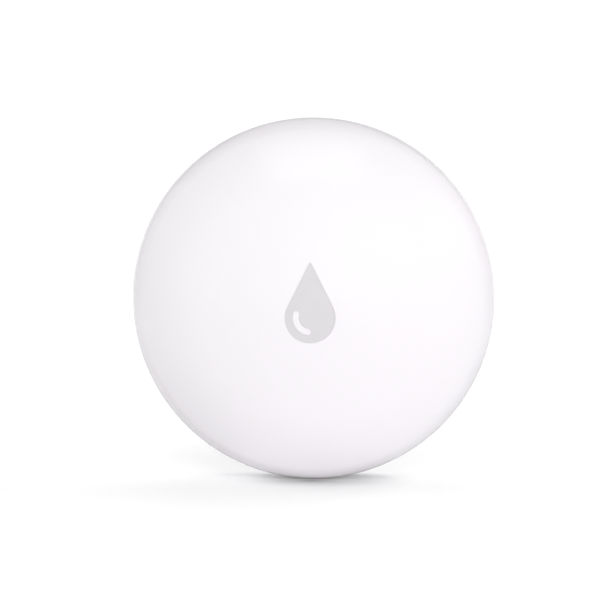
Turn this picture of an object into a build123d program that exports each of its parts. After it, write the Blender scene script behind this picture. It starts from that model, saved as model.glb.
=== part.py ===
from build123d import *
import math
import os

os.makedirs("parts", exist_ok=True)

# Water leak sensor: a domed disc that lies on its flat underside in use and is
# stored here standing on its rim, as photographed. Sizes are millimetres.
# Each piece is drawn lying down, with the underside at height 0 and the dome
# upwards, and stand_up turns it onto its rim when it is written.

# Overall body
outer_radius = 25.0
total_height = 15.0
probe_proud = 0.5
flank_radius = 3.4
rim_land = 0.3
overrun = 1.0
quarter_turn = 90.0
half_turn = 180.0
full_turn = 360.0
pair = 2

# Top shell
dome_start = 7.2
cap_flat_share = 1.28
slope_radius = 24.0
rim_radius = 3.6
shell_wall = 1.4
lip_fillet = 0.25
press_travel = 0.3
seam_slack = 0.05
snap_reach = 0.5
snap_rise = 1.8
snap_height = 0.5
snap_angle = 16.0
snap_count = 4
snap_slack = 0.05
press_boss_radius = 1.6
press_gap = 0.05

# Drop mark
drop_width = 6.9
drop_height = 11.1
drop_depth = 0.12
drop_fit = 0.03
glint_radius = 1.95
glint_width = 0.85
glint_start = 165.0
glint_sweep = 95.0

# Base shell
floor_thickness = 1.6
spigot_gap = 0.25
spigot_wall = 1.2
spigot_lift = 0.7
spigot_chamfer = 0.4
gasket_rise = 0.65
gasket_height = 0.8
gasket_depth = 0.6
gasket_fit = 0.07
gasket_seat_fit = 0.03
gasket_fillet = 0.2
well_wall = 2.1
well_neck_wall = 1.3
well_step_gap = 0.15
well_step_wall = 1.2
base_mark_radius = 0.45
base_mark_depth = 0.25
base_mark_offset = 0.85

# Coin cell: the shares give the CR2032 standard size, 20 mm across and 3.2 mm tall
cell_radius_share = 0.4
cell_height_share = 0.21333
can_wall = 0.25
can_lip = 0.35
cap_inset = 1.2
cap_wall = 0.25
cap_round = 0.2
can_height_gap = 0.3
cell_gasket_wall = 0.6
cell_side_gap = 0.4
cell_end_gap = 0.1

# Battery cover
flange_thickness = 1.3
flange_overhang = 1.4
flange_gap = 0.3
flange_seat_gap = 0.05
flange_chamfer = 0.3
cover_pad_height = 0.6
cover_pad_gap = 2.4
skirt_wall = 1.6
bore_gap = 0.15
coin_slot_overhang = 0.5
coin_slot_width = 2.0
coin_slot_depth = 1.0
cover_mark_length = 1.6
cover_mark_depth = 0.25
cover_mark_inset = 1.5

# Cover ring and its groove
ring_cord_radius = 0.47
ring_groove_depth = 0.9
ring_groove_height = 1.1
ring_groove_rise = 0.25
ring_fit = 0.03

# Lugs of the cover, on slanted tracks
lug_count = 3
lug_reach = 0.75
lug_height = 0.7
lug_rise = 0.2
lug_angle = 24.0
lug_lead = 14.4
lug_fit = 0.12
lug_top_gap = 0.1

# Circuit board and its screws
contact_space = 1.4
board_thickness = 0.8
board_gap = 0.35
screw_circle_inset = 3.2
screw_count = 4
screw_radius = 0.8
screw_length = 3.8
screw_fit = 0.03
screw_head_radius = 1.5
screw_head_height = 0.9
screw_cross_width = 0.4
screw_cross_depth = 0.45
post_wall = 1.1
board_hole_gap = 0.15

# Battery contacts
leaf_thickness = 0.2
leaf_width = 3.0
leaf_gap = 0.05
spring_pad_reach = 5.2
spring_pad_length = 2.4
spring_tip_reach = 0.8
spring_tail_reach = 2.4
spring_tail_rise = 0.55
clip_stand_off = 0.62
clip_grip_height = 0.75
clip_tail_length = 0.75
clip_pad_length = 1.7
clip_pocket_depth = 0.75
clip_pocket_gap = 0.6

# Sensing probes
probe_radius = 1.0
probe_head_radius = 2.1
probe_head_depth = 0.55
probe_crown = 0.3
probe_cross_width = 0.55
probe_cross_depth = 0.4
probe_tip_rise = 0.25
probe_recess_gap = 0.15
seal_cord_radius = 0.33
seal_fit = 0.03
insert_wall = 0.6
insert_fit = 0.02
insert_rise = 0.7
probe_boss_wall = 1.25
probe_leaf_width = 2.2
probe_leaf_pad = 2.9
probe_leaf_bend = 1.5
probe_leaf_touch = 0.5
probe_leaf_tail = 1.3
probe_leaf_tail_rise = 0.3

# Push switch
switch_side = 6.0
switch_height_share = 0.544
switch_cover_thickness = 0.3
switch_cover_inset = 0.15
switch_plunger_radius = 1.7
switch_plunger_rise = 0.9
switch_plunger_depth = 1.2
switch_plunger_fit = 0.05
switch_rivet_radius = 0.35
switch_rivet_height = 0.12
switch_rivet_inset = 0.75
switch_rivet_count = 4

# Parts on the board
led_size = (1.6, 0.8, 0.7)
shield_height = 1.7
shield_wall = 0.25
radio_size = (6.0, 6.0, 0.85)
crystal_size = (3.2, 2.5, 0.8)
memory_size = (3.9, 4.9, 1.4)
regulator_size = (1.6, 2.9, 1.1)
lead_size = (0.9, 0.4, 0.2)
memory_lead_count = 4
memory_lead_pitch = 1.27
regulator_lead_count = 3
regulator_lead_pitch = 0.95
capacitor_size = (1.6, 0.8, 0.8)
resistor_size = (1.0, 0.5, 0.35)
chip_fillet = 0.12
antenna_inset = 1.6
antenna_thickness = 0.3
antenna_height = 1.4
antenna_lift = 0.5
antenna_sweep = 58.0
antenna_foot_angle = 3.0
antenna_turn = 90.0

# Places on the board, as shares of the board's radius
led_place_shares = (0.24, 0.10)
shield_place_shares = (0.0, -0.50)
shield_side_shares = (0.505, 0.413)
crystal_place_shares = (-0.40, -0.36)
memory_place_shares = (0.42, -0.34)
regulator_place_shares = (0.55, 0.14)
capacitor_place_shares = (
    (-0.40, -0.22),
    (-0.40, -0.14),
    (-0.40, -0.50),
    (0.40, -0.56),
    (0.30, 0.40),
    (0.42, 0.40),
    (-0.30, 0.24),
    (-0.66, 0.12),
)
resistor_place_shares = (
    (-0.24, -0.10),
    (-0.24, 0.00),
    (0.24, -0.14),
    (0.24, 0.22),
    (0.68, 0.00),
    (0.68, -0.10),
    (-0.20, 0.42),
    (-0.08, 0.42),
)

# Heights worked out from the sizes above
body_height = total_height - probe_proud
body_middle = total_height / 2 - probe_proud
seam_height = flank_radius + rim_land
shell_bottom = seam_height + press_travel + seam_slack
cell_bottom = flange_thickness + cover_pad_height + cell_end_gap
cell_top = cell_bottom + total_height * cell_height_share
board_bottom = cell_top + contact_space
board_top = board_bottom + board_thickness
switch_height = (body_height - shell_wall - board_top) * switch_height_share
ring_groove_bottom = flange_thickness + ring_groove_rise
lug_bottom = ring_groove_bottom + ring_groove_height + lug_rise
lug_top = lug_bottom + lug_height
skirt_top = lug_top + lug_top_gap
well_step = skirt_top + well_step_gap
recess_top = flange_thickness + flange_seat_gap
spigot_top = dome_start + spigot_lift
probe_recess_top = probe_head_depth + 2 * (seal_cord_radius + seal_fit)
probe_boss_top = board_bottom - 2 * leaf_thickness - insert_rise + leaf_gap
probe_top = probe_boss_top + probe_tip_rise

# The dome's profile is three tangent arcs: the cap, the slope and the rim
# A cap that met the rim with no slope between them would have the tightest radius
rim_middle = Vector(outer_radius - rim_radius, dome_start)
cap_rise = body_height - dome_start
tightest_cap = (rim_middle.X**2 + cap_rise**2 - rim_radius**2) / (2 * (cap_rise - rim_radius))
cap_radius = tightest_cap * cap_flat_share
cap_middle = Vector(0, body_height - cap_radius)
middle_span = rim_middle - cap_middle
span_along = ((cap_radius - slope_radius) ** 2 - (slope_radius - rim_radius) ** 2) / middle_span.length
span_along = (span_along + middle_span.length) / 2
span_aside = math.sqrt((cap_radius - slope_radius) ** 2 - span_along**2)
span_normal = middle_span.rotate(Axis.Z, quarter_turn)
slope_middle = cap_middle + middle_span.normalized() * span_along + span_normal.normalized() * span_aside
cap_lean = (slope_middle - cap_middle).get_angle(Vector(0, 1))
rim_lean = (rim_middle - slope_middle).get_angle(Vector(0, 1))

# Radii worked out from the sizes above
foot_radius = outer_radius - flank_radius
shell_inner = outer_radius - shell_wall
spigot_outer = shell_inner - spigot_gap
spigot_inner = spigot_outer - spigot_wall
cell_radius = outer_radius * cell_radius_share
skirt_inner = cell_radius + cell_side_gap
skirt_outer = skirt_inner + skirt_wall
cover_pad_radius = skirt_inner - cover_pad_gap
bore_radius = skirt_outer + bore_gap
flange_radius = skirt_outer + flange_overhang
recess_radius = flange_radius + flange_gap
well_outer = bore_radius + well_wall
well_neck_outer = skirt_inner + well_neck_wall
board_radius = spigot_inner - board_gap
screw_circle = board_radius - screw_circle_inset
probe_circle = (foot_radius + recess_radius) / 2
insert_inner = probe_radius + insert_fit
insert_outer = insert_inner + insert_wall
probe_recess_radius = probe_head_radius + probe_recess_gap

upright = (Align.CENTER, Align.CENTER, Align.MIN)
stand_up = Pos(0, body_middle, outer_radius) * Rotation(quarter_turn, 0, 0)


def disc(radius, bottom, top):
    return Pos(0, 0, bottom) * Cylinder(radius, top - bottom, align=upright)


def ring(outer, inner, bottom, top):
    return disc(outer, bottom, top) - disc(inner, bottom, top)


def block(size, place, bottom):
    wide, deep, tall = size
    return Pos(place[0], place[1], bottom) * Box(wide, deep, tall, align=upright)


def lathe(*edges):
    return revolve(Plane.XZ * make_face(edges), Axis.Z)


def cord_ring(middle_radius, cord_radius, height):
    return Pos(0, 0, height) * Torus(middle_radius, cord_radius)


def sector(inner, outer, angle):
    # A flat piece of a ring, centred on +X
    start = -angle / 2
    outer_arc = CenterArc((0, 0), outer, start, angle)
    inner_arc = CenterArc((0, 0), inner, start, angle)
    first_side = Line(inner_arc @ 0, outer_arc @ 0)
    last_side = Line(inner_arc @ 1, outer_arc @ 1)
    return make_face([outer_arc, inner_arc, first_side, last_side])


def around(count, piece, start=0):
    return [Rotation(0, 0, start + step * full_turn / count) * piece for step in range(count)]


def on_board(place_shares):
    return (place_shares[0] * board_radius, place_shares[1] * board_radius)


def cross(width, length, bottom, top):
    # A cross-shaped driver recess
    tall = top - bottom
    along = Pos(0, 0, bottom) * Box(length, width, tall, align=upright)
    across = Pos(0, 0, bottom) * Box(width, length, tall, align=upright)
    return along + across


def leaf(points, width):
    # A bent strip of sheet whose middle line runs through the points in the XZ plane
    profile = Plane.XZ * trace(Polyline(*points), leaf_thickness)
    return extrude(profile, width / 2, both=True)


def dome(inset):
    # The solid under the dome's outer face moved inwards by inset, down to the seam
    rim = CenterArc(rim_middle, rim_radius - inset, 0, quarter_turn - rim_lean)
    slope = CenterArc(slope_middle, slope_radius - inset, quarter_turn - rim_lean, rim_lean - cap_lean)
    cap = CenterArc(cap_middle, cap_radius - inset, quarter_turn - cap_lean, cap_lean)
    side = outer_radius - inset
    outline = Polyline(cap @ 1, (0, shell_bottom), (side, shell_bottom), (side, dome_start))
    return lathe(rim, slope, cap, *outline.edges())


def drop_outline():
    # A drop with a round foot and straight sides up to its tip, the tip towards +Y
    belly = drop_width / 2
    foot_height = belly - drop_height / 2
    tip = drop_height / 2
    slope = math.degrees(math.acos(belly / (tip - foot_height)))
    start = quarter_turn - slope
    foot = CenterArc((0, foot_height), belly, start, -(half_turn + 2 * start))
    left_side = Line(foot @ 1, (0, tip))
    right_side = Line((0, tip), foot @ 0)
    return make_face([foot, left_side, right_side])


def glint_outline():
    # The bare curved gleam inside the drop
    foot_height = drop_width / 2 - drop_height / 2
    stroke = CenterArc((0, foot_height), glint_radius, glint_start, glint_sweep)
    band = trace(stroke, glint_width)
    ends = [Pos(stroke @ share) * Circle(glint_width / 2) for share in (0, 1)]
    return band + ends


def drop_solid(fit):
    # A skin of the dome's face, cut to the drop and drawn in by fit all round
    outline = drop_outline()
    glint = glint_outline()
    if fit:
        outline = offset(outline, -fit)
        glint = offset(glint, fit)
    prism = Pos(0, 0, dome_start) * extrude(outline - glint, body_height)
    skin = Pos(0, 0, body_height - cap_radius) * (Sphere(cap_radius) - Sphere(cap_radius - drop_depth))
    return prism & skin


def make_top_shell():
    shell = dome(0) - dome(shell_wall)
    lip = shell.edges().filter_by_position(Axis.Z, shell_bottom, shell_bottom).sort_by(SortBy.RADIUS)
    shell = fillet(lip[-1:], lip_fillet)
    snap_bottom = shell_bottom + snap_rise
    snap_face = sector(shell_inner - snap_reach, shell_inner + shell_wall / 2, snap_angle)
    snap = Pos(0, 0, snap_bottom) * extrude(snap_face, snap_height)
    for tooth in around(snap_count, snap):
        shell += tooth
    boss_bottom = board_top + switch_height + switch_plunger_rise + press_gap
    boss_top = body_height - shell_wall / 2
    shell += disc(press_boss_radius, boss_bottom, boss_top)
    return shell - drop_solid(0)


def make_drop_mark():
    return drop_solid(drop_fit)


def make_shell_gasket():
    groove_floor = spigot_outer - gasket_depth
    bottom = seam_height + gasket_rise + gasket_seat_fit
    top = bottom + gasket_height - 2 * gasket_seat_fit
    outer = shell_inner - gasket_fit
    gasket = ring(outer, groove_floor + gasket_seat_fit, bottom, top)
    rims = gasket.edges().filter_by(GeomType.CIRCLE).sort_by(SortBy.RADIUS)[-2:]
    return fillet(rims, gasket_fillet)


def base_body():
    # The turned casing: flat foot, rounded flank, seam ledge and the spigot wall
    flank = CenterArc((foot_radius, flank_radius), flank_radius, -quarter_turn, quarter_turn)
    outline = Polyline(
        (outer_radius, flank_radius),
        (outer_radius, seam_height),
        (spigot_outer, seam_height),
        (spigot_outer, spigot_top - spigot_chamfer),
        (spigot_outer - spigot_chamfer, spigot_top),
        (spigot_inner, spigot_top),
        (spigot_inner, floor_thickness),
        (0, floor_thickness),
        (0, 0),
        (foot_radius, 0),
    )
    return lathe(flank, *outline.edges())


def lug_track():
    # The slanted track that one lug follows, open towards the underside
    extra_angle = math.degrees(lug_fit / skirt_outer)
    face = sector(skirt_outer - lug_fit, skirt_outer + lug_reach + lug_fit, lug_angle + 2 * extra_angle)
    bottom = flange_thickness - overrun
    top = lug_top + lug_top_gap
    twist_per_height = full_turn / lug_lead
    start = (bottom - lug_bottom) * twist_per_height
    turned = Rotation(0, 0, start) * (Pos(0, 0, bottom) * face)
    tall = top - bottom
    return Solid.extrude_linear_with_rotation(
        turned.face(), (0, 0, bottom), (0, 0, tall), tall * twist_per_height
    )


def make_base_shell():
    base = base_body()
    base += ring(well_outer, skirt_inner, floor_thickness / 2, well_step + well_step_wall)
    base += ring(well_neck_outer, skirt_inner, well_step, board_bottom)
    post = disc(screw_radius + post_wall, floor_thickness / 2, board_bottom)
    for placed in around(screw_count, Pos(screw_circle, 0, 0) * post, quarter_turn / 2):
        base += placed
    boss_radius = insert_outer + probe_boss_wall
    boss = disc(boss_radius, floor_thickness / 2, probe_boss_top)
    for placed in around(pair, Pos(probe_circle, 0, 0) * boss):
        base += placed
    base -= disc(recess_radius, -overrun, recess_top)
    base -= disc(bore_radius, 0, well_step)
    base -= disc(skirt_inner, 0, board_bottom + overrun)
    for track in around(lug_count, lug_track()):
        base -= track
    groove_bottom = seam_height + gasket_rise
    groove_cut = ring(outer_radius, spigot_outer - gasket_depth, groove_bottom, groove_bottom + gasket_height)
    base -= groove_cut
    window_bottom = shell_bottom + snap_rise - press_travel - snap_slack
    window_top = shell_bottom + snap_rise + snap_height + snap_slack
    window_angle = snap_angle + 2 * math.degrees(spigot_gap / spigot_outer)
    window_face = sector(spigot_inner - overrun, spigot_outer + overrun, window_angle)
    window = Pos(0, 0, window_bottom) * extrude(window_face, window_top - window_bottom)
    for placed in around(snap_count, window):
        base -= placed
    pilot = disc(screw_radius + screw_fit, board_top - screw_length - screw_fit, board_bottom + overrun)
    for placed in around(screw_count, Pos(screw_circle, 0, 0) * pilot, quarter_turn / 2):
        base -= placed
    probe_hole = disc(probe_recess_radius, -overrun, probe_recess_top)
    probe_hole += disc(insert_outer, probe_recess_top, probe_boss_top + overrun)
    for placed in around(pair, Pos(probe_circle, 0, 0) * probe_hole):
        base -= placed
    pocket_wide = leaf_width + 2 * clip_pocket_gap
    pocket_deep = clip_pocket_depth + cell_side_gap
    pocket_place = (cell_radius + pocket_deep / 2, 0)
    pocket_size = (pocket_deep, pocket_wide, board_bottom - well_step + overrun)
    base -= Rotation(0, 0, quarter_turn) * block(pocket_size, pocket_place, well_step)
    return base - base_marks()


def base_marks():
    # A dot beside the closed place of the cover's pointer and an open ring where the lugs come free
    mark_circle = recess_radius + base_mark_offset
    dot = disc(base_mark_radius, -overrun, base_mark_depth)
    hoop = ring(base_mark_radius, base_mark_radius / 2, -overrun, base_mark_depth)
    free_turn = full_turn * (lug_top - recess_top) / lug_lead
    closed = Rotation(0, 0, -quarter_turn) * Pos(mark_circle, 0, 0) * dot
    opened = Rotation(0, 0, -quarter_turn - free_turn) * Pos(mark_circle, 0, 0) * hoop
    return [closed, opened]


def make_battery_cover():
    cover = disc(flange_radius, 0, flange_thickness)
    outer_edge = cover.edges().group_by(Axis.Z)[0]
    cover = chamfer(outer_edge, flange_chamfer)
    cover += ring(skirt_outer, skirt_inner, flange_thickness / 2, skirt_top)
    cover += disc(cover_pad_radius, flange_thickness / 2, flange_thickness + cover_pad_height)
    groove_top = ring_groove_bottom + ring_groove_height
    groove_floor = skirt_outer - ring_groove_depth
    cover -= ring(skirt_outer + overrun, groove_floor, ring_groove_bottom, groove_top)
    face = Pos(0, 0, lug_bottom) * sector(skirt_outer - skirt_wall / 2, skirt_outer + lug_reach, lug_angle)
    twist = lug_height * full_turn / lug_lead
    lug = Solid.extrude_linear_with_rotation(face.face(), (0, 0, lug_bottom), (0, 0, lug_height), twist)
    for placed in around(lug_count, lug):
        cover += placed
    slot = SlotOverall(2 * (cover_pad_radius + coin_slot_overhang), coin_slot_width)
    cover -= Pos(0, 0, -overrun) * extrude(slot, coin_slot_depth + overrun)
    pointer = RegularPolygon(cover_mark_length / 2, 3)
    placed = Rotation(0, 0, -quarter_turn) * Pos(flange_radius - cover_mark_inset, 0, -overrun)
    cover -= placed * extrude(pointer, cover_mark_depth + overrun)
    return cover


def make_cover_ring():
    inner = skirt_outer - ring_groove_depth + ring_fit
    middle_height = ring_groove_bottom + ring_groove_height / 2
    return cord_ring(inner + ring_cord_radius, ring_cord_radius, middle_height)


def make_cell_can():
    can_top = cell_top - can_height_gap
    can = disc(cell_radius, cell_bottom, can_top)
    can = fillet(can.edges().group_by(Axis.Z)[0], can_lip)
    can -= disc(cell_radius - can_wall, cell_bottom + can_wall, can_top + overrun)
    lip = ring(cell_radius, cell_radius - can_wall - can_lip, can_top - can_wall, can_top)
    can += lip
    rolled_edge = can.edges().group_by(Axis.Z)[-1].sort_by(SortBy.RADIUS)[-1:]
    return fillet(rolled_edge, can_wall)


def make_cell_gasket():
    outer = cell_radius - can_wall
    top = cell_top - can_height_gap - can_wall
    return ring(outer, outer - cell_gasket_wall, cell_bottom + can_wall, top)


def cell_inside(inset):
    # The space inside the can and gasket under the cap's outer face moved inwards by inset
    outer = cell_radius - can_wall - cell_gasket_wall - inset
    bottom = cell_bottom + can_wall
    low = disc(outer, bottom, cell_top - can_height_gap - can_wall - inset)
    raised = disc(cell_radius - cap_inset - inset, bottom, cell_top - inset)
    raised = fillet(raised.edges().group_by(Axis.Z)[-1], cap_round)
    return low + raised


def make_cell_cap():
    return cell_inside(0) - cell_inside(cap_wall)


def make_cell_core():
    # The pressed electrodes that fill the cell
    return cell_inside(cap_wall)


def make_circuit_board():
    board = disc(board_radius, board_bottom, board_top)
    hole = disc(screw_radius + board_hole_gap, board_bottom - overrun, board_top + overrun)
    for placed in around(screw_count, Pos(screw_circle, 0, 0) * hole, quarter_turn / 2):
        board -= placed
    return board


def make_board_screws():
    shank = disc(screw_radius, board_top - screw_length, board_top)
    head = disc(screw_head_radius, board_top, board_top + screw_head_height)
    head = fillet(head.edges().group_by(Axis.Z)[-1], screw_head_height / 2)
    recess_bottom = board_top + screw_head_height - screw_cross_depth
    cut_top = board_top + screw_head_height + overrun
    head -= cross(screw_cross_width, screw_head_radius, recess_bottom, cut_top)
    return around(screw_count, Pos(screw_circle, 0, 0) * (shank + head), quarter_turn / 2)


def make_positive_clip():
    # A leaf soldered under the board that reaches down and presses on the side of the can
    pad_height = board_bottom - leaf_thickness / 2
    stand_off = cell_radius + clip_stand_off + leaf_thickness / 2
    touch = cell_radius + leaf_gap + leaf_thickness / 2
    grip = cell_top - can_height_gap - clip_grip_height
    points = (
        (stand_off - clip_pad_length, pad_height),
        (stand_off, pad_height),
        (stand_off, cell_top),
        (touch, grip + clip_tail_length / 2),
        (touch, grip),
        (touch + leaf_thickness, grip - clip_tail_length / 2 + leaf_thickness),
    )
    return Rotation(0, 0, quarter_turn) * leaf(points, leaf_width)


def make_negative_spring():
    # A leaf soldered under the board whose bent middle presses on the cell's cap
    pad_height = board_bottom - leaf_thickness / 2
    touch_height = cell_top + leaf_gap + leaf_thickness / 2
    points = (
        (-spring_pad_reach, pad_height),
        (-spring_pad_reach + spring_pad_length, pad_height),
        (-spring_tip_reach, touch_height),
        (spring_tip_reach, touch_height),
        (spring_tail_reach, touch_height + spring_tail_rise),
    )
    return leaf(points, leaf_width)


def make_probe():
    # One sensing screw, its crowned head outwards and its plain shank up to the leaf
    head = disc(probe_head_radius, -probe_proud, probe_head_depth)
    head = fillet(head.edges().group_by(Axis.Z)[0], probe_crown)
    shank = disc(probe_radius, 0, probe_top)
    shank = chamfer(shank.edges().group_by(Axis.Z)[-1], probe_tip_rise / 2)
    recess_floor = probe_cross_depth - probe_proud
    recess = cross(probe_cross_width, probe_head_radius, -probe_proud - overrun, recess_floor)
    return (head + shank) - recess


def make_probe_inserts():
    bush = ring(insert_outer, insert_inner, probe_recess_top, probe_boss_top)
    return around(pair, Pos(probe_circle, 0, 0) * bush)


def make_probe_seals():
    middle = probe_radius + seal_fit + seal_cord_radius
    seal = cord_ring(middle, seal_cord_radius, probe_head_depth + seal_fit + seal_cord_radius)
    return around(pair, Pos(probe_circle, 0, 0) * seal)


def make_probe_contacts():
    pad_height = board_bottom - leaf_thickness / 2
    touch_height = probe_top + leaf_gap + leaf_thickness / 2
    points = (
        (-probe_leaf_pad, pad_height),
        (-probe_leaf_bend, pad_height),
        (-probe_leaf_touch, touch_height),
        (probe_leaf_touch, touch_height),
        (probe_leaf_tail, touch_height + probe_leaf_tail_rise),
    )
    strip = Rotation(0, 0, quarter_turn) * leaf(points, probe_leaf_width)
    return around(pair, Pos(probe_circle, 0, 0) * strip)


def switch_bore(bottom, top):
    return disc(switch_plunger_radius + switch_plunger_fit, bottom, top)


def make_switch_body():
    tall = switch_height - switch_cover_thickness
    body = block((switch_side, switch_side, tall), (0, 0), board_top)
    seat = board_top + switch_height - switch_plunger_depth - press_travel - press_gap
    return body - switch_bore(seat, board_top + switch_height + overrun)


def make_switch_cover():
    side = switch_side - 2 * switch_cover_inset
    bottom = board_top + switch_height - switch_cover_thickness
    cover = block((side, side, switch_cover_thickness), (0, 0), bottom)
    cover -= switch_bore(bottom - overrun, board_top + switch_height + overrun)
    top = board_top + switch_height
    corner = switch_side / 2 - switch_rivet_inset
    rivet = disc(switch_rivet_radius, bottom, top + switch_rivet_height)
    for placed in around(switch_rivet_count, Pos(corner, corner, 0) * rivet):
        cover += placed
    return cover


def make_switch_plunger():
    top = board_top + switch_height + switch_plunger_rise
    plunger = disc(switch_plunger_radius, board_top + switch_height - switch_plunger_depth, top)
    return chamfer(plunger.edges().group_by(Axis.Z)[-1], switch_cover_inset)


def make_status_led():
    led = block(led_size, on_board(led_place_shares), board_top)
    return fillet(led.edges().group_by(Axis.Z)[-1], chip_fillet)


def make_shield_can():
    wide, deep = on_board(shield_side_shares)
    place = on_board(shield_place_shares)
    can = block((wide, deep, shield_height), place, board_top)
    can = fillet(can.edges().filter_by(Axis.Z), shield_wall)
    inner = (wide - 2 * shield_wall, deep - 2 * shield_wall, shield_height - shield_wall)
    return can - block(inner, place, board_top)


def make_radio_chip():
    return block(radio_size, on_board(shield_place_shares), board_top)


def make_crystal():
    crystal = block(crystal_size, on_board(crystal_place_shares), board_top)
    return fillet(crystal.edges().filter_by(Axis.Z), chip_fillet)


def leaded_chip(size, place, count, pitch):
    # A moulded chip on the board with a row of flat leads along each side
    lead_long, lead_wide, lead_tall = lead_size
    wide = size[0]
    chip = block(size, place, board_top)
    chip = fillet(chip.edges().group_by(Axis.Z)[-1], chip_fillet)
    reach = wide / 2 + lead_long / 2 - chip_fillet
    for side in (-1, 1):
        for step in range(count):
            along = (step - (count - 1) / 2) * pitch
            chip += block(lead_size, (place[0] + side * reach, place[1] + along), board_top)
    return chip


def make_memory_chip():
    return leaded_chip(memory_size, on_board(memory_place_shares), memory_lead_count, memory_lead_pitch)


def make_regulator():
    place = on_board(regulator_place_shares)
    return leaded_chip(regulator_size, place, regulator_lead_count, regulator_lead_pitch)


def make_antenna():
    # A strip on edge along the board's rim, held clear of the board by two feet
    outer = board_radius - antenna_inset
    strip_face = sector(outer - antenna_thickness, outer, antenna_sweep)
    strip = Pos(0, 0, board_top + antenna_lift) * extrude(strip_face, antenna_height - antenna_lift)
    foot_face = sector(outer - antenna_thickness, outer, antenna_foot_angle)
    foot = Pos(0, 0, board_top) * extrude(foot_face, antenna_height)
    for spot in (-1, 0):
        turn = spot * (antenna_sweep - antenna_foot_angle) / 2
        strip += Rotation(0, 0, turn) * foot
    return Rotation(0, 0, antenna_turn) * strip


def make_small_parts(size, place_shares):
    return [block(size, on_board(shares), board_top) for shares in place_shares]


def make_pieces():
    probe = Pos(probe_circle, 0, 0) * make_probe()
    return {
        "top_shell": make_top_shell(),
        "drop_mark": make_drop_mark(),
        "shell_gasket": make_shell_gasket(),
        "base_shell": make_base_shell(),
        "battery_cover": make_battery_cover(),
        "cover_ring": make_cover_ring(),
        "cell_can": make_cell_can(),
        "cell_gasket": make_cell_gasket(),
        "cell_cap": make_cell_cap(),
        "cell_core": make_cell_core(),
        "circuit_board": make_circuit_board(),
        "board_screws": make_board_screws(),
        "positive_clip": make_positive_clip(),
        "negative_spring": make_negative_spring(),
        "probe_right": probe,
        "probe_left": Rotation(0, 0, half_turn) * probe,
        "probe_inserts": make_probe_inserts(),
        "probe_seals": make_probe_seals(),
        "probe_contacts": make_probe_contacts(),
        "switch_body": make_switch_body(),
        "switch_cover": make_switch_cover(),
        "switch_plunger": make_switch_plunger(),
        "status_led": make_status_led(),
        "shield_can": make_shield_can(),
        "radio_chip": make_radio_chip(),
        "crystal": make_crystal(),
        "memory_chip": make_memory_chip(),
        "regulator": make_regulator(),
        "antenna": make_antenna(),
        "capacitors": make_small_parts(capacitor_size, capacitor_place_shares),
        "resistors": make_small_parts(resistor_size, resistor_place_shares),
    }


def write_pieces():
    for name, piece in make_pieces().items():
        items = piece if isinstance(piece, list) else [piece]
        solids = [solid for item in items for solid in item.solids()]
        placed = [stand_up * solid for solid in solids]
        shape = placed[0] if len(placed) == 1 else Compound(children=placed)
        export_step(shape, f"parts/{name}.step")
        print(name, len(placed), "solids", round(sum(solid.volume for solid in placed), 2), "mm3")


write_pieces()
print("cover lead per radian", lug_lead / (2 * math.pi), "mm")
print("press travel", press_travel, "mm")
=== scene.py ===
import bmesh
import bpy
import math
from mathutils import Matrix, Vector


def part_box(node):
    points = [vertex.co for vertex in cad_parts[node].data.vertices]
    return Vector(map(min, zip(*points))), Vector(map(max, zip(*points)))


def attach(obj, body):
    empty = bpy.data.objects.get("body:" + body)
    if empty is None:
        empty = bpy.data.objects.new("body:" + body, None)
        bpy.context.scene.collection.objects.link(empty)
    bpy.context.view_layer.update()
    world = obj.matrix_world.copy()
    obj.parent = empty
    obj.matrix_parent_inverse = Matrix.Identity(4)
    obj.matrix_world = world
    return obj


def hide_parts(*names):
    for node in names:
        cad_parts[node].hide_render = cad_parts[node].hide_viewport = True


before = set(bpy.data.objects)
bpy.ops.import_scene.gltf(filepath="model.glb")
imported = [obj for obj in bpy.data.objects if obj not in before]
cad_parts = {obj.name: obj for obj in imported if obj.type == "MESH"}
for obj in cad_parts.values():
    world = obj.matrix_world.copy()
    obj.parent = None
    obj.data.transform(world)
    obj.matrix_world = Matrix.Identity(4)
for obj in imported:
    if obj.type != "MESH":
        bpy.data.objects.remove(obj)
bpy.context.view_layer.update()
mm = 0.001
fullTurn = 2 * math.pi

# The sensor is modelled lying down, underside at height 0 and dome upwards, in millimetres
# as it would be on a bench. This turns it onto its rim, where the frame has it.
restingFlat = {"underside": 7.0, "radius": 25.0}
standUp = (
    Matrix.Translation((0, restingFlat["underside"] * mm, restingFlat["radius"] * mm))
    @ Matrix.Rotation(math.radians(90), 4, "X")
    @ Matrix.Scale(mm, 4)
)


# shader helpers

noiseSpan = (0.3, 0.7)  # nearly all of a noise texture's values lie in it
black, white = (0, 0, 0), (1, 1, 1)


class Wire:
    # one socket of a shader, so that sums on it read as plain maths
    def __init__(self, tree, socket):
        self.tree = tree
        self.socket = socket

    def sum(self, kind, first, second=0.0):
        return self.tree.add("ShaderNodeMath", {"operation": kind}, {0: first, 1: second})

    def __add__(self, other):
        return self.sum("ADD", self, other)

    def __radd__(self, other):
        return self.sum("ADD", other, self)

    def __sub__(self, other):
        return self.sum("SUBTRACT", self, other)

    def __rsub__(self, other):
        return self.sum("SUBTRACT", other, self)

    def __mul__(self, other):
        return self.sum("MULTIPLY", self, other)

    def __rmul__(self, other):
        return self.sum("MULTIPLY", other, self)

    def __truediv__(self, other):
        return self.sum("DIVIDE", self, other)

    def __pow__(self, other):
        return self.sum("POWER", self, other)

    def __gt__(self, other):
        return self.sum("GREATER_THAN", self, other)

    def __lt__(self, other):
        return self.sum("LESS_THAN", self, other)

    def __abs__(self):
        return self.sum("ABSOLUTE", self)

    def __mod__(self, other):
        return self.sum("FLOORED_MODULO", self, other)


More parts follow.
